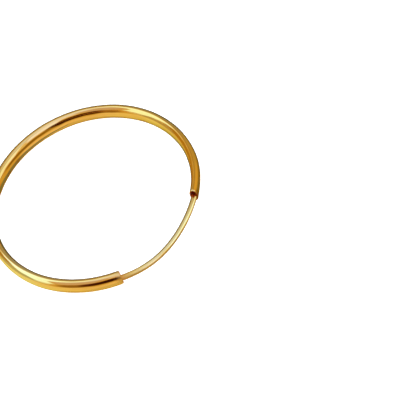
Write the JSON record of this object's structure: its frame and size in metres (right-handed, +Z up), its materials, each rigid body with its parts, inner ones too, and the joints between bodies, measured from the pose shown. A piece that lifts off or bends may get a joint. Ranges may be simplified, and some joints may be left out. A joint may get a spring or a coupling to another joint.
{
  "type": "hoop earring",
  "caption": "Plain polished endless hoop earring: a hollow oval tube bent into a hoop, closed by a thin round ear wire that slides into the tube's open end.",
  "frame": {"origin": "centre of the hoop, on the surface that it rests on", "axes": "+Z is up, along the hoop's axis; the bare ear wire runs from 24.4 to 87 degrees clockwise of +X, seen from above"},
  "size_m": [0.03, 0.0301, 0.0023],
  "materials": {
    "tube_gold": "polished gold-coloured metal",
    "wire_gold": "polished pale gold-coloured wire"
  },
  "bodies": {
    "root": {"hoop_tube": "tube_gold", "ear_wire": "wire_gold"}
  },
  "joints": []
}
